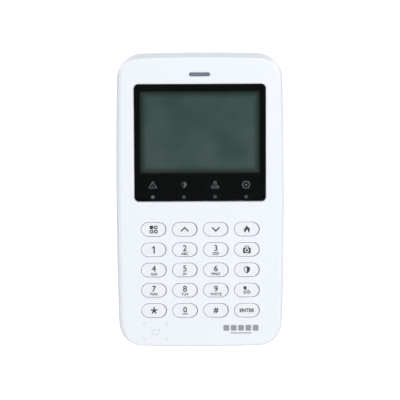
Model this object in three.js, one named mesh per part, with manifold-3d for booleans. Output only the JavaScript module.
// Wall-mounted wireless alarm keypad: a panel with a display window, a status light bar and
// twenty sprung keys, which hangs on a bracket screwed to the wall.
// Millimetres. +Z is up, +Y points into the wall, and the wall is the plane y = 0, so the
// keys face -Y. The origin is the centre of the bracket's wall face.

import * as THREE from "three";
import { mergeVertices } from "three/addons/utils/BufferGeometryUtils.js";
import Module from "manifold-3d";

const wasm = await Module();
wasm.setup();

// ---------------------------------------------------------------- driving dimensions

const WIDTH = 96;
const HEIGHT = 168;
const CORNER_RADIUS = 14.3;
const SIDE_RADIUS = 2900; // the long sides bulge a little
const END_RADIUS = 1100; // and so do the top and bottom
const GAP = 0.3; // clearance between neighbouring pieces
const SEAT_GAP = 0.1; // clearance under a head or a chip that rests on its seat
const PAST = 1; // how far a cut runs past the face it opens

// Planes along Y, from the wall to the front face.
const WALL_FACE = 0;
const BRACKET_FRONT = -2;
const REAR_RIM = -0.8;
const REAR_BACK = -3; // outer face of the rear cover's wall, inside the bracket recess
const REAR_INNER = -5;
const PARTING = -12; // where the two covers meet
const BAY_FLOOR = -17.6; // the battery bay's far wall
const BOARD_REAR = -19.6;
const BOARD_FRONT = -21.2;
const FACE_INNER = -27.6;
const WINDOW_SEAT = -27.9;
const FACE = -30;

const FRONT_WALL = 2.2;
const REAR_WALL = 3.6;
const RECESS_INSET = 6.8; // the rear cover's rim is this wide around the bracket recess
const BRACKET_INSET = 7.5;
const DRAFT = 0.55; // how far the front cover narrows from the parting line to the face
const EDGE_FILLET = 1.4; // round edge of the front face
const REAR_TAPER = 1.2; // how far the rear cover narrows towards the wall
const TONGUE_DEPTH = 2; // the rear cover's tongue reaches this far into the front cover

const KEY_COLUMNS = [-26.55, -8.85, 8.85, 26.55];
const KEY_ROWS = [-15.1, -26.9, -38.7, -50.5, -62.3];
const KEY_NAMES = [
  ["menu", "up", "down", "fire"],
  ["1", "2", "3", "medical"],
  ["4", "5", "6", "shield"],
  ["7", "8", "9", "zones"],
  ["star", "0", "hash", "enter"],
];
const KEY = {
  holeWidth: 14.5,
  holeHeight: 8.3,
  proud: 0.35, // a key stands this far out of the face
  softened: 0.35, // bevel round the cap's front
  lip: 0.8, // the flange behind the face is this much larger than the cap, all round
  flangeBack: -26.4,
  stemRadius: 2,
  stemEnd: -24.4, // one key stroke and a little more above the dome
};
const MAT = { width: 68, height: 58, z: -38.7, front: -22.3, domeRadius: 3.8, domeHeight: 1.2 };

const WINDOW = { width: 74.6, height: 67.3, z: 34.55, radius: 2.6, back: -28.3, front: -29.85 };
const SEE_THROUGH = { width: 70.6, height: 65.3 }; // the cover's opening behind the window
const SEAT_FRAME = { border: 2, back: -26.2 }; // thickening of the cover round the window
const DISPLAY = { width: 69.6, height: 49.6, z: 40.5, back: -25.6 };
const BACKLIGHT = { width: 70, height: 52.6, back: -22.3, front: -25.3 };
const LIGHT_BAR = { width: 11.8, height: 2.1, z: 73.8, back: -22.2, flange: 1.2 };
const INDICATOR = { z: 3.35, radius: 1, barHeight: 2.6, barWidth: 60 };

const HOUSING_SCREW = { x: 37, z: 70, boss: 3.4, sleeve: 4.2, way: 1.7, headWay: 3.1, seat: -5.6 };
const BOARD_SCREW = { x: 40, z: [12, -58], post: 2.9, way: 1.4 };
const BOARD = { width: 87, height: 156, radius: 14 };

const CELL = { radius: 7, length: 49.2, nub: 1, nubRadius: 2.7, count: 4, pitch: 15, y: -10.3 };
const BAY = { width: 60.6, height: 57.9, z: -22, wall: 1.4 };
const CONTACT = { thickness: 0.5, width: 11, springRoom: 6, wireRadius: 0.4 };

const HOOKS = { x: 36.3, z: [52, -38], width: 7, post: 2, lip: 7, lipBack: -5.3, front: -7.1 };
const LIFT = 6; // the panel rises this far to come off its hooks
const WALL_SCREW = { x: 30, top: 66, bottom: -56, radius: 2.1, slotWidth: 9, slotHeight: 4 };
const RIBS = { x: 24, z: 6, width: 1.6, height: 90, proud: 0.6 };

const TAMPER = { x: 14, z: 30, stem: 2.2, flange: 3.3, sleeve: 4 };
const SWITCH = { size: 6, depth: 2.5, button: 1.3, buttonHeight: 0.8 };

const LOCK = { y: -7, lugWidth: 10, lugTop: -67.5, lugHeight: 3, lugFront: -10, shank: 1.4 };
const LOCK_POCKET = { width: 13, bottom: -79, top: -65.5, front: -10.5, wall: 1.4 };
const LOCK_SEAT = -81.4; // the lock screw's head rests here, inside the bottom edge

// ---------------------------------------------------------------- materials

const finish = (color, roughness, metalness = 0) =>
  new THREE.MeshStandardMaterial({ color, roughness, metalness });

const coverWhite = finish(0xf1f4fb, 0.45);
const keyWhite = finish(0xecf0f3, 0.5);
const bracketWhite = finish(0xe6e9ee, 0.55);
const windowBlack = finish(0x0c0e0f, 0.12);
const displayGrey = finish(0x3d504d, 0.35);
const lightGrey = finish(0x868ba0, 0.4);
const clearPlastic = finish(0xd9dee3, 0.2);
const tapeBlack = finish(0x1a1a1b, 0.8);
const matGrey = finish(0xb9bdc2, 0.75);
const boardGreen = finish(0x1f5a3c, 0.5);
const chipBlack = finish(0x1b1c1e, 0.5);
const flexAmber = finish(0xb0702a, 0.4);
const steel = finish(0xb8bcc2, 0.3, 1);
const copper = finish(0xb87446, 0.35, 1);
const cellGrey = finish(0x5d6670, 0.4);

// ---------------------------------------------------------------- outlines, as points in X and Z

function arc(x, z, radius, from, to, steps) {
  return Array.from({ length: steps + 1 }, (_, i) => {
    const angle = from + ((to - from) * i) / steps;
    return new THREE.Vector2(x + radius * Math.cos(angle), z + radius * Math.sin(angle));
  });
}

const circle = (x, z, radius, steps) => arc(x, z, radius, 0, 2 * Math.PI, steps).slice(0, -1);

function roundedRect(x, z, width, height, radius, steps = 4) {
  const w = width / 2 - radius;
  const h = height / 2 - radius;
  const corners = [[w, -h], [w, h], [-w, h], [-w, -h]];
  return corners.flatMap(([cx, cz], i) =>
    arc(x + cx, z + cz, radius, ((i - 1) * Math.PI) / 2, (i * Math.PI) / 2, steps),
  );
}

function rect(x, z, width, height) {
  const corners = [[-1, -1], [1, -1], [1, 1], [-1, 1]];
  return corners.map(([sx, sz]) => new THREE.Vector2(x + (sx * width) / 2, z + (sz * height) / 2));
}

function stadium(x, z, width, height, steps = 6) {
  const r = height / 2;
  const w = width / 2 - r;
  return [
    ...arc(x + w, z, r, -Math.PI / 2, Math.PI / 2, steps),
    ...arc(x - w, z, r, Math.PI / 2, (3 * Math.PI) / 2, steps),
  ];
}

// Centre of the top right corner's circle, which is tangent to the side and end arcs.
function cornerCentre() {
  let x = WIDTH / 2 - CORNER_RADIUS;
  let z = HEIGHT / 2 - CORNER_RADIUS;
  for (let i = 0; i < 20; i++) {
    x = Math.sqrt((SIDE_RADIUS - CORNER_RADIUS) ** 2 - z ** 2) - (SIDE_RADIUS - WIDTH / 2);
    z = Math.sqrt((END_RADIUS - CORNER_RADIUS) ** 2 - x ** 2) - (END_RADIUS - HEIGHT / 2);
  }
  return { x, z };
}

const CORNER = cornerCentre();
const SIDE_ANGLE = Math.atan2(CORNER.z, CORNER.x + SIDE_RADIUS - WIDTH / 2);
const END_ANGLE = Math.atan2(CORNER.z + END_RADIUS - HEIGHT / 2, CORNER.x);

// The panel's outline, moved inwards by inset: four shallow arcs joined by four corner arcs.
function panelOutline(inset) {
  const side = SIDE_RADIUS - WIDTH / 2;
  const end = END_RADIUS - HEIGHT / 2;
  const turn = Math.PI;
  const { x, z } = CORNER;
  const r = CORNER_RADIUS - inset;
  const arcs = [
    arc(-side, 0, SIDE_RADIUS - inset, -SIDE_ANGLE, SIDE_ANGLE, 4),
    arc(x, z, r, SIDE_ANGLE, END_ANGLE, 8),
    arc(0, -end, END_RADIUS - inset, END_ANGLE, turn - END_ANGLE, 4),
    arc(-x, z, r, turn - END_ANGLE, turn - SIDE_ANGLE, 8),
    arc(side, 0, SIDE_RADIUS - inset, turn - SIDE_ANGLE, turn + SIDE_ANGLE, 4),
    arc(-x, -z, r, turn + SIDE_ANGLE, turn + END_ANGLE, 8),
    arc(0, end, END_RADIUS - inset, turn + END_ANGLE, 2 * turn - END_ANGLE, 4),
    arc(x, -z, r, -END_ANGLE, -SIDE_ANGLE, 8),
  ];
  return arcs.flatMap((points) => points.slice(0, -1));
}

// ---------------------------------------------------------------- solids

function solid(geometry) {
  geometry.deleteAttribute("normal");
  geometry.deleteAttribute("uv");
  const merged = mergeVertices(geometry, 1e-4);
  return new wasm.Manifold(
    new wasm.Mesh({
      numProp: 3,
      vertProperties: merged.attributes.position.array,
      triVerts: new Uint32Array(merged.index.array),
    }),
  );
}

function geometryOf(manifold) {
  const mesh = manifold.getMesh();
  const geometry = new THREE.BufferGeometry();
  geometry.setAttribute("position", new THREE.BufferAttribute(mesh.vertProperties, 3));
  geometry.setIndex(new THREE.BufferAttribute(mesh.triVerts, 1));
  geometry.computeVertexNormals();
  return geometry;
}

// An outline in X and Z, extruded along Y between two planes.
function slab(points, yBack, yFront) {
  const geometry = new THREE.ExtrudeGeometry(new THREE.Shape(points), {
    depth: yBack - yFront,
    bevelEnabled: false,
  });
  geometry.rotateX(Math.PI / 2).translate(0, yBack, 0);
  return solid(geometry);
}

// A strip of even thickness that follows a path of (y, z) points, extruded along X.
function strip(path, thickness, xLow, xHigh) {
  const points = path.map(([y, z]) => new THREE.Vector2(y, z));
  const normals = points.map((_, i) => {
    const before = points[Math.max(i - 1, 0)];
    const after = points[Math.min(i + 1, points.length - 1)];
    const run = after.clone().sub(before).normalize();
    return new THREE.Vector2(-run.y, run.x).multiplyScalar(thickness / 2);
  });
  const near = points.map((p, i) => p.clone().add(normals[i]));
  const far = points.map((p, i) => p.clone().sub(normals[i])).reverse();
  const geometry = new THREE.ExtrudeGeometry(new THREE.Shape([...near, ...far]), {
    depth: xHigh - xLow,
    bevelEnabled: false,
  });
  const toWorld = new THREE.Matrix4().makeBasis(
    new THREE.Vector3(0, 1, 0), new THREE.Vector3(0, 0, 1), new THREE.Vector3(1, 0, 0),
  );
  geometry.applyMatrix4(toWorld).translate(xLow, 0, 0);
  return solid(geometry);
}

// A skin through rings of equal point counts, each an outline at its own y, back to front.
function loft(rings) {
  const count = rings[0].points.length;
  const positions = rings.flatMap(({ points, y }) => points.flatMap((p) => [p.x, y, p.y]));
  const index = [];
  for (let ring = 0; ring < rings.length - 1; ring++) {
    for (let i = 0; i < count; i++) {
      const a = ring * count + i;
      const b = ring * count + ((i + 1) % count);
      index.push(a, b, a + count, b, b + count, a + count);
    }
  }
  const last = (rings.length - 1) * count;
  for (const [a, b, c] of THREE.ShapeUtils.triangulateShape(rings[0].points, [])) {
    index.push(a, c, b);
  }
  for (const [a, b, c] of THREE.ShapeUtils.triangulateShape(rings.at(-1).points, [])) {
    index.push(last + a, last + b, last + c);
  }
  const geometry = new THREE.BufferGeometry();
  geometry.setAttribute("position", new THREE.Float32BufferAttribute(positions, 3));
  geometry.setIndex(index);
  return solid(geometry);
}

// A turned piece along +Y: the profile's points are (radius, distance along the axis).
function turned(profile, steps = 16) {
  const points = profile.map(([radius, along]) => new THREE.Vector2(radius, along));
  return solid(new THREE.LatheGeometry(points, steps));
}

// Rotations that point a turned piece's axis at the wall, at the face, up or down.
const AIM = { wall: [0, 0, 0], face: [180, 0, 0], up: [90, 0, 0], down: [-90, 0, 0] };
const aimed = (piece, direction, x, y, z) => piece.rotate(AIM[direction]).translate([x, y, z]);

const disc = (x, z, radius, yBack, yFront, steps = 16) =>
  slab(circle(x, z, radius, steps), yBack, yFront);
const block = (x, z, width, height, yBack, yFront) => slab(rect(x, z, width, height), yBack, yFront);
const blockBetween = (x, zLow, zHigh, width, yBack, yFront) =>
  block(x, (zLow + zHigh) / 2, width, zHigh - zLow, yBack, yFront);

const joined = (parts) => parts.reduce((all, part) => all.add(part));
const without = (body, cuts) => cuts.reduce((left, cut) => left.subtract(cut), body);

// What make(x, z) gives at -x and +x for each z, and at each key.
const inPairs = (x, zs, make) => zs.flatMap((z) => [make(-x, z), make(x, z)]);
const atHousingScrews = (make) => inPairs(HOUSING_SCREW.x, [HOUSING_SCREW.z, -HOUSING_SCREW.z], make);
const atBoardScrews = (make) => inPairs(BOARD_SCREW.x, BOARD_SCREW.z, make);
const atKeys = (make) => KEY_ROWS.flatMap((z) => KEY_COLUMNS.map((x) => make(x, z)));

// A round wire along a curve.
function wire(curve, radius, steps, sides = 5) {
  const geometry = new THREE.ExtrudeGeometry(new THREE.Shape(circle(0, 0, radius, sides)), {
    steps,
    extrudePath: curve,
    bevelEnabled: false,
  });
  return solid(geometry);
}

// A coil that starts at a point, runs along a vector and changes radius evenly on the way.
class Coil extends THREE.Curve {
  constructor({ start, along, radii, turns }) {
    super();
    this.start = start;
    this.along = along;
    this.radii = radii;
    this.turns = turns;
    this.side = new THREE.Vector3(along.z, along.x, along.y).cross(along).normalize();
    this.up = along.clone().cross(this.side).normalize();
  }

  getPoint(t, target = new THREE.Vector3()) {
    const angle = 2 * Math.PI * this.turns * t;
    const radius = THREE.MathUtils.lerp(this.radii[0], this.radii[1], t);
    return target
      .copy(this.start)
      .addScaledVector(this.along, t)
      .addScaledVector(this.side, radius * Math.cos(angle))
      .addScaledVector(this.up, radius * Math.sin(angle));
  }
}

// ---------------------------------------------------------------- the assembly's two groups

const bracketGroup = new THREE.Group();
const panelGroup = new THREE.Group();

function place(group, name, manifold, material) {
  const mesh = new THREE.Mesh(geometryOf(manifold), material);
  mesh.name = name;
  group.add(mesh);
}

// ---------------------------------------------------------------- wall bracket

// A post through the rear cover's slot, with a lip that stands up behind the cover's wall.
function hook(x, z) {
  const rooted = BRACKET_FRONT + 0.5;
  const bottom = z - HOOKS.post / 2;
  const post = blockBetween(x, bottom, bottom + HOOKS.post, HOOKS.width, rooted, HOOKS.front);
  const lip = blockBetween(x, bottom, bottom + HOOKS.lip, HOOKS.width, HOOKS.lipBack, HOOKS.front);
  return post.add(lip);
}

function wallBracket() {
  // The lower half sits higher by the lift, to leave room when the panel rises.
  const outline = panelOutline(BRACKET_INSET).map(
    (p) => new THREE.Vector2(p.x, p.y < 0 ? p.y + LIFT : p.y),
  );
  const rooted = BRACKET_FRONT + 0.5;
  const lugMiddle = LOCK.lugTop - LOCK.lugHeight / 2;
  const body = joined([
    slab(outline, WALL_FACE, BRACKET_FRONT),
    ...inPairs(HOOKS.x, HOOKS.z, hook),
    block(0, lugMiddle, LOCK.lugWidth, LOCK.lugHeight, rooted, LOCK.lugFront),
    ...inPairs(RIBS.x, [RIBS.z], (x, z) =>
      block(x, z, RIBS.width, RIBS.height, rooted, BRACKET_FRONT - RIBS.proud),
    ),
  ]);

  const through = [WALL_FACE + PAST, BRACKET_FRONT - PAST];
  const roundHoles = inPairs(WALL_SCREW.x, [WALL_SCREW.top], (x, z) =>
    disc(x, z, WALL_SCREW.radius, ...through),
  );
  const slots = inPairs(WALL_SCREW.x, [WALL_SCREW.bottom], (x, z) =>
    slab(stadium(x, z, WALL_SCREW.slotWidth, WALL_SCREW.slotHeight), ...through),
  );
  const plungerRoom = 2 * (TAMPER.stem + 1);
  const tamperWay = slab(
    roundedRect(TAMPER.x, TAMPER.z + LIFT / 2, plungerRoom, plungerRoom + LIFT + 2, TAMPER.stem),
    ...through,
  );
  const reach = LOCK.lugHeight;
  const way = LOCK.shank + GAP;
  const screwWay = aimed(
    turned([[0, -reach], [way, -reach], [way, reach], [0, reach]]), "up", 0, LOCK.y, lugMiddle,
  );
  return without(body, [...roundHoles, ...slots, tamperWay, screwWay]);
}

place(bracketGroup, "wall_bracket", wallBracket(), bracketWhite);

// ---------------------------------------------------------------- rear cover

function rearCover() {
  const outer = loft([
    { points: panelOutline(REAR_TAPER), y: REAR_RIM },
    { points: panelOutline(0), y: PARTING },
  ]);
  const tongue = slab(panelOutline(FRONT_WALL + GAP), PARTING + PAST, PARTING - TONGUE_DEPTH);
  const recess = slab(panelOutline(RECESS_INSET), WALL_FACE + PAST, REAR_BACK);
  const inside = slab(panelOutline(REAR_WALL), REAR_INNER, PARTING - TONGUE_DEPTH - PAST);
  const shell = without(outer.add(tongue), [recess, inside]);

  const rooted = REAR_INNER + 0.5;
  const bayWalls = block(
    0, BAY.z, BAY.width + 2 * BAY.wall, BAY.height + 2 * BAY.wall, rooted, BAY_FLOOR - BAY.wall,
  );
  const sleeves = atHousingScrews((x, z) => disc(x, z, HOUSING_SCREW.sleeve, rooted, -14));
  const posts = atBoardScrews((x, z) => disc(x, z, BOARD_SCREW.post, rooted, BOARD_REAR + GAP, 12));
  const tamperSleeve = disc(TAMPER.x, TAMPER.z, TAMPER.sleeve, rooted, REAR_INNER - 2);
  const pocketWalls = blockBetween(
    0, LOCK_POCKET.bottom - 3, LOCK_POCKET.top + LOCK_POCKET.wall,
    LOCK_POCKET.width + 2 * LOCK_POCKET.wall, rooted, LOCK_POCKET.front - LOCK_POCKET.wall,
  );

  const screwWays = atHousingScrews((x, z) =>
    disc(x, z, HOUSING_SCREW.headWay, WALL_FACE, HOUSING_SCREW.seat).add(
      disc(x, z, HOUSING_SCREW.way, WALL_FACE, BOARD_REAR),
    ),
  );
  const postWays = atBoardScrews((x, z) => disc(x, z, BOARD_SCREW.way, -12, BOARD_FRONT, 10));
  const slotTop = HOOKS.post / 2 + GAP;
  const slotHeight = HOOKS.lip + 2;
  const hookSlots = inPairs(HOOKS.x, HOOKS.z, (x, z) =>
    block(x, z + slotTop - slotHeight / 2, HOOKS.width + 1, slotHeight, WALL_FACE, REAR_INNER - GAP),
  );
  const bayRoom = block(0, BAY.z, BAY.width, BAY.height, WALL_FACE, BAY_FLOOR);
  const tamperHole = disc(TAMPER.x, TAMPER.z, TAMPER.stem + GAP, WALL_FACE, REAR_INNER - 3);
  const pocketRoom = blockBetween(
    0, LOCK_POCKET.bottom, LOCK_POCKET.top, LOCK_POCKET.width, WALL_FACE, LOCK_POCKET.front,
  );
  const lockWay = aimed(
    turned([[0, -4], [3.2, -4], [3.2, 0], [1.7, 0], [1.7, 5], [0, 5]]), "up", 0, LOCK.y, LOCK_SEAT,
  );

  const body = joined([shell, bayWalls, ...sleeves, ...posts, tamperSleeve, pocketWalls]);
  return without(body, [
    ...screwWays, ...postWays, ...hookSlots, bayRoom, tamperHole, pocketRoom, lockWay,
  ]);
}

place(panelGroup, "rear_cover", rearCover(), coverWhite);

// ---------------------------------------------------------------- front cover

// Rings from the parting line to the face: a slight draft and then the round front edge.
function frontSkin() {
  const steps = 3;
  const rings = [{ points: panelOutline(0), y: PARTING - 0.2 }];
  for (let i = 0; i <= steps; i++) {
    const angle = (Math.PI / 2) * (i / steps);
    rings.push({
      points: panelOutline(DRAFT + EDGE_FILLET * (1 - Math.cos(angle))),
      y: FACE + EDGE_FILLET * (1 - Math.sin(angle)),
    });
  }
  return loft(rings);
}

function frontCover() {
  const inside = loft([
    { points: panelOutline(FRONT_WALL), y: PARTING + PAST },
    { points: panelOutline(FRONT_WALL + DRAFT), y: FACE_INNER },
  ]);
  const border = 2 * SEAT_FRAME.border;
  const seatFrame = slab(
    roundedRect(0, WINDOW.z, WINDOW.width + border, WINDOW.height + border, WINDOW.radius + 1),
    SEAT_FRAME.back, WINDOW_SEAT,
  );
  const bosses = atHousingScrews((x, z) => disc(x, z, HOUSING_SCREW.boss, -14.3, WINDOW_SEAT, 12));
  const body = joined([frontSkin().subtract(inside), seatFrame, ...bosses]);

  const pilots = atHousingScrews((x, z) => disc(x, z, HOUSING_SCREW.way, -14, -25, 10));
  const windowSeat = slab(
    roundedRect(0, WINDOW.z, WINDOW.width + 2 * GAP, WINDOW.height + 2 * GAP, WINDOW.radius + GAP),
    WINDOW_SEAT, FACE - PAST,
  );
  const seeThrough = block(0, WINDOW.z, SEE_THROUGH.width, SEE_THROUGH.height, -20, FACE - PAST);
  const lightSlot = slab(
    stadium(0, LIGHT_BAR.z, LIGHT_BAR.width + 2 * SEAT_GAP, LIGHT_BAR.height + 2 * SEAT_GAP),
    -20, FACE - PAST,
  );
  const keyHoles = atKeys((x, z) =>
    slab(stadium(x, z, KEY.holeWidth, KEY.holeHeight), -20, FACE - PAST),
  );
  return without(body, [...pilots, windowSeat, seeThrough, lightSlot, ...keyHoles]);
}

place(panelGroup, "front_cover", frontCover(), coverWhite);

// ---------------------------------------------------------------- window, display and lights

const displayWindow = slab(
  roundedRect(0, WINDOW.z, WINDOW.width, WINDOW.height, WINDOW.radius), WINDOW.back, WINDOW.front,
);
place(panelGroup, "display_window", displayWindow, windowBlack);

// Adhesive frame that bonds the window to its seat.
const windowTape = slab(
  roundedRect(0, WINDOW.z, WINDOW.width - 1, WINDOW.height - 0.6, 2),
  WINDOW_SEAT - SEAT_GAP, WINDOW.back + SEAT_GAP,
).subtract(block(0, WINDOW.z, SEE_THROUGH.width + 0.6, SEE_THROUGH.height + 0.4, -27, -29));
place(panelGroup, "window_tape", windowTape, tapeBlack);

const displayGlass = block(0, DISPLAY.z, DISPLAY.width, DISPLAY.height, DISPLAY.back, FACE_INNER);
place(panelGroup, "display_glass", displayGlass, displayGrey);

const backlight = joined([
  block(0, DISPLAY.z, BACKLIGHT.width, BACKLIGHT.height, BACKLIGHT.back, BACKLIGHT.front),
  blockBetween(-30, 8.8, DISPLAY.z, 8, BACKLIGHT.back, BACKLIGHT.back - 2), // its lamp tab
]);
place(panelGroup, "display_backlight", backlight, clearPlastic);

// A thin ribbon from the display's lower edge, down and back to the main board.
const flexPath = [
  [-26.6, 15.2],
  [-26.6, 12.4],
  [-26, 11.2],
  [-22.6, 10.2],
  [-21.7, 9.2],
  [-21.7, 6.6],
];
place(panelGroup, "display_flex_cable", strip(flexPath, 0.3, -14, 14), flexAmber);

const barFlange = 2 * LIGHT_BAR.flange;
const lightBar = joined([
  slab(stadium(0, LIGHT_BAR.z, LIGHT_BAR.width, LIGHT_BAR.height), -26, FACE),
  block(
    0, LIGHT_BAR.z, LIGHT_BAR.width + barFlange, LIGHT_BAR.height + barFlange,
    LIGHT_BAR.back, FACE_INNER + GAP,
  ),
]);
place(panelGroup, "status_light_bar", lightBar, lightGrey);

// One post behind each indicator dot, joined by a bar in front of the board's lamps.
const indicatorGuide = joined([
  block(0, INDICATOR.z, INDICATOR.barWidth, INDICATOR.barHeight, -22.3, -24.2),
  ...KEY_COLUMNS.map((x) => disc(x, INDICATOR.z, INDICATOR.radius, -24, -28, 12)),
]);
place(panelGroup, "indicator_light_guide", indicatorGuide, clearPlastic);

// ---------------------------------------------------------------- keypad

// A rubber sheet with one dome under each key.
function keypadMat() {
  const sheet = slab(roundedRect(0, MAT.z, MAT.width, MAT.height, 3, 2), BOARD_FRONT - GAP, MAT.front);
  const { domeRadius, domeHeight } = MAT;
  const dome = turned(
    [[0, -0.4], [domeRadius, -0.4], [domeRadius, 0], [2.6, domeHeight], [0, domeHeight]], 8,
  );
  return joined([sheet, ...atKeys((x, z) => aimed(dome, "face", x, MAT.front, z))]);
}

place(panelGroup, "keypad_mat", keypadMat(), matGrey);

// A key: a cap with a softened edge, a flange that holds it behind the face, and a stem.
function keySolid(x, z) {
  const width = KEY.holeWidth - 2 * GAP;
  const height = KEY.holeHeight - 2 * GAP;
  const front = FACE - KEY.proud;
  const soft = 2 * KEY.softened;
  const rooted = KEY.flangeBack - 0.4;
  const cap = loft([
    { points: stadium(x, z, width, height), y: rooted },
    { points: stadium(x, z, width, height), y: front + KEY.softened },
    { points: stadium(x, z, width - soft, height - soft), y: front },
  ]);
  const keyFlange = slab(
    stadium(x, z, width + 2 * KEY.lip, height + 2 * KEY.lip), KEY.flangeBack, FACE_INNER + GAP,
  );
  const stem = disc(x, z, KEY.stemRadius, KEY.stemEnd, rooted, 8);
  return joined([cap, keyFlange, stem]);
}

KEY_ROWS.forEach((z, row) => {
  KEY_COLUMNS.forEach((x, column) => {
    place(panelGroup, `key_${KEY_NAMES[row][column]}`, keySolid(x, z), keyWhite);
  });
});

// ---------------------------------------------------------------- electronics

function mainBoard() {
  const { width, height, radius } = BOARD;
  const board = slab(roundedRect(0, 0, width, height, radius), BOARD_REAR, BOARD_FRONT);
  const bossWays = atHousingScrews((x, z) => disc(x, z, HOUSING_SCREW.sleeve, -18, -23));
  const screwWays = atBoardScrews((x, z) => disc(x, z, BOARD_SCREW.way, -18, -23, 10));
  return without(board, [...bossWays, ...screwWays]);
}

// A rectangular part soldered to the board's rear face.
const rearChip = (x, z, width, height, depth) =>
  block(x, z, width, height, BOARD_REAR + SEAT_GAP + depth, BOARD_REAR + SEAT_GAP);

const buzzer = disc(25, 73.5, 5, BOARD_FRONT - SEAT_GAP, -25.6).subtract(
  disc(25, 73.5, 1, -24.5, -27, 8),
);

const switchTop = BOARD_REAR + SEAT_GAP + SWITCH.depth;
const tamperSwitch = rearChip(TAMPER.x, TAMPER.z, SWITCH.size, SWITCH.size, SWITCH.depth).add(
  disc(TAMPER.x, TAMPER.z, SWITCH.button, switchTop + SWITCH.buttonHeight, switchTop - 0.5, 10),
);

const antenna = new Coil({
  start: new THREE.Vector3(-30, BOARD_REAR + 3.2, 21),
  along: new THREE.Vector3(20, 0, 0),
  radii: [2.4, 2.4],
  turns: 6,
});

const readerCoil = slab(roundedRect(-22.5, -75.3, 21, 7.6, 1.5, 2), -26, FACE_INNER + GAP).subtract(
  slab(roundedRect(-22.5, -75.3, 18, 4.6, 0.8, 2), -25, FACE_INNER - GAP),
);

place(panelGroup, "main_board", mainBoard(), boardGreen);
place(panelGroup, "processor_chip", rearChip(-8, 60, 10, 10, 1.2), chipBlack);
place(panelGroup, "radio_module", rearChip(-22, 36, 18, 15, 2.9), steel);
place(panelGroup, "tamper_switch", tamperSwitch, chipBlack);
place(panelGroup, "buzzer", buzzer, chipBlack);
place(panelGroup, "radio_antenna", wire(antenna, 0.4, 48), copper);
place(panelGroup, "card_reader_coil", readerCoil, copper);

// ---------------------------------------------------------------- cells and their contacts

const cellX = (i) => (i - (CELL.count - 1) / 2) * CELL.pitch;
const bayTop = BAY.z + BAY.height / 2;
const bayBottom = BAY.z - BAY.height / 2;

// Cells alternate, so that each flat end meets a spring and each button end a plain plate.
const pointsUp = (i) => i % 2 === 0;
const springSpace = SEAT_GAP + CONTACT.thickness + CONTACT.springRoom;

function cellSolid(i) {
  const { radius, length, nub, nubRadius } = CELL;
  const can = turned([[0, 0], [radius, 0], [radius, length], [0, length]], 18);
  const button = turned(
    [[0, length - 0.2], [nubRadius, length - 0.2], [nubRadius, length + nub], [0, length + nub]], 10,
  );
  return pointsUp(i)
    ? aimed(can.add(button), "up", cellX(i), CELL.y, bayBottom + springSpace)
    : aimed(can.add(button), "down", cellX(i), CELL.y, bayTop - springSpace);
}

for (let i = 0; i < CELL.count; i++) {
  place(panelGroup, `battery_cell_${i + 1}`, cellSolid(i), cellGrey);
}

// A contact plate across some of the cells' ends, with a conical spring at each flat end.
function contact(cells, atTop) {
  const inwards = atTop ? -1 : 1;
  const z = (atTop ? bayTop : bayBottom) + inwards * (SEAT_GAP + CONTACT.thickness / 2);
  const left = cellX(cells[0]);
  const right = cellX(cells.at(-1));
  const half = CONTACT.width / 2;
  const plate = block(
    (left + right) / 2, z, right - left + CONTACT.width, CONTACT.thickness, CELL.y + half, CELL.y - half,
  );
  const springs = cells
    .filter((i) => pointsUp(i) !== atTop)
    .map((i) => {
      const coil = new Coil({
        start: new THREE.Vector3(cellX(i), CELL.y, z + (inwards * CONTACT.wireRadius) / 2),
        along: new THREE.Vector3(0, 0, inwards * (CONTACT.springRoom - 0.7)),
        radii: [4.2, 1.8],
        turns: 3,
      });
      return wire(coil, CONTACT.wireRadius, 27);
    });
  return joined([plate, ...springs]);
}

const CONTACTS = [
  ["battery_contact_1_2", [0, 1], true],
  ["battery_contact_3_4", [2, 3], true],
  ["battery_contact_2_3", [1, 2], false],
  ["battery_contact_negative", [0], false],
  ["battery_contact_positive", [3], false],
];
for (const [name, cells, atTop] of CONTACTS) {
  place(panelGroup, name, contact(cells, atTop), steel);
}

// ---------------------------------------------------------------- tamper plunger and spring

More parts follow.
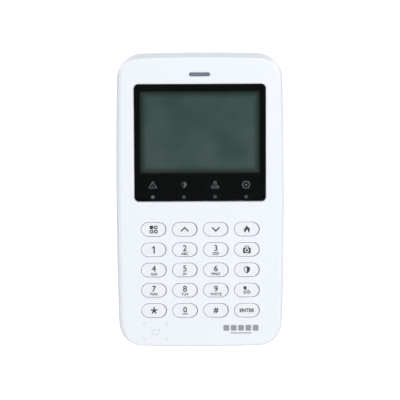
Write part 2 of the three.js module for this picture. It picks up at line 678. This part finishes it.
// The wall holds the plunger in against the switch, and it springs out when the panel leaves.
const flangeAt = 8.9;
const tipAt = 15.7;
const plunger = turned([
  [0, 0],
  [TAMPER.stem, 0],
  [TAMPER.stem, flangeAt],
  [TAMPER.flange, flangeAt],
  [TAMPER.flange, flangeAt + 1.2],
  [1.1, flangeAt + 1.2],
  [1.1, tipAt],
  [0, tipAt],
]);
place(panelGroup, "tamper_plunger", aimed(plunger, "face", TAMPER.x, -GAP, TAMPER.z), bracketWhite);

const plungerCoil = new Coil({
  start: new THREE.Vector3(TAMPER.x, switchTop + 0.6, TAMPER.z),
  along: new THREE.Vector3(0, 5.3, 0),
  radii: [2.2, 2.2],
  turns: 4,
});
place(panelGroup, "tamper_spring", wire(plungerCoil, 0.3, 40), steel);

// ---------------------------------------------------------------- fasteners

// A slotted pan-head screw: its head's underside is at 0 and its shank runs along the axis.
function screw({ head, headHeight, shank, length }) {
  const body = turned(
    [[0, -headHeight], [head, -headHeight], [head, 0], [shank, 0], [shank, length], [0, length]], 12,
  );
  const slot = new THREE.BoxGeometry(head * 1.5, 0.8, 0.7);
  return body.subtract(solid(slot).translate([0, -headHeight, 0]));
}

const housingScrew = screw({ head: 2.7, headHeight: 1.8, shank: 1.4, length: 14 });
atHousingScrews((x, z) => [x, z]).forEach(([x, z], i) => {
  const driven = aimed(housingScrew, "face", x, HOUSING_SCREW.seat + SEAT_GAP, z);
  place(panelGroup, `housing_screw_${i + 1}`, driven, steel);
});

const boardScrew = screw({ head: 2.3, headHeight: 1.2, shank: 1.1, length: 7 });
atBoardScrews((x, z) => [x, z]).forEach(([x, z], i) => {
  const driven = aimed(boardScrew, "wall", x, BOARD_FRONT - SEAT_GAP, z);
  place(panelGroup, `board_screw_${i + 1}`, driven, steel);
});

const lockScrew = screw({ head: 2.8, headHeight: 1.8, shank: LOCK.shank, length: 15 });
place(panelGroup, "lock_screw", aimed(lockScrew, "up", 0, LOCK.y, LOCK_SEAT - SEAT_GAP), steel);

const keypad = new THREE.Group();
keypad.add(bracketGroup, panelGroup);

export default keypad;
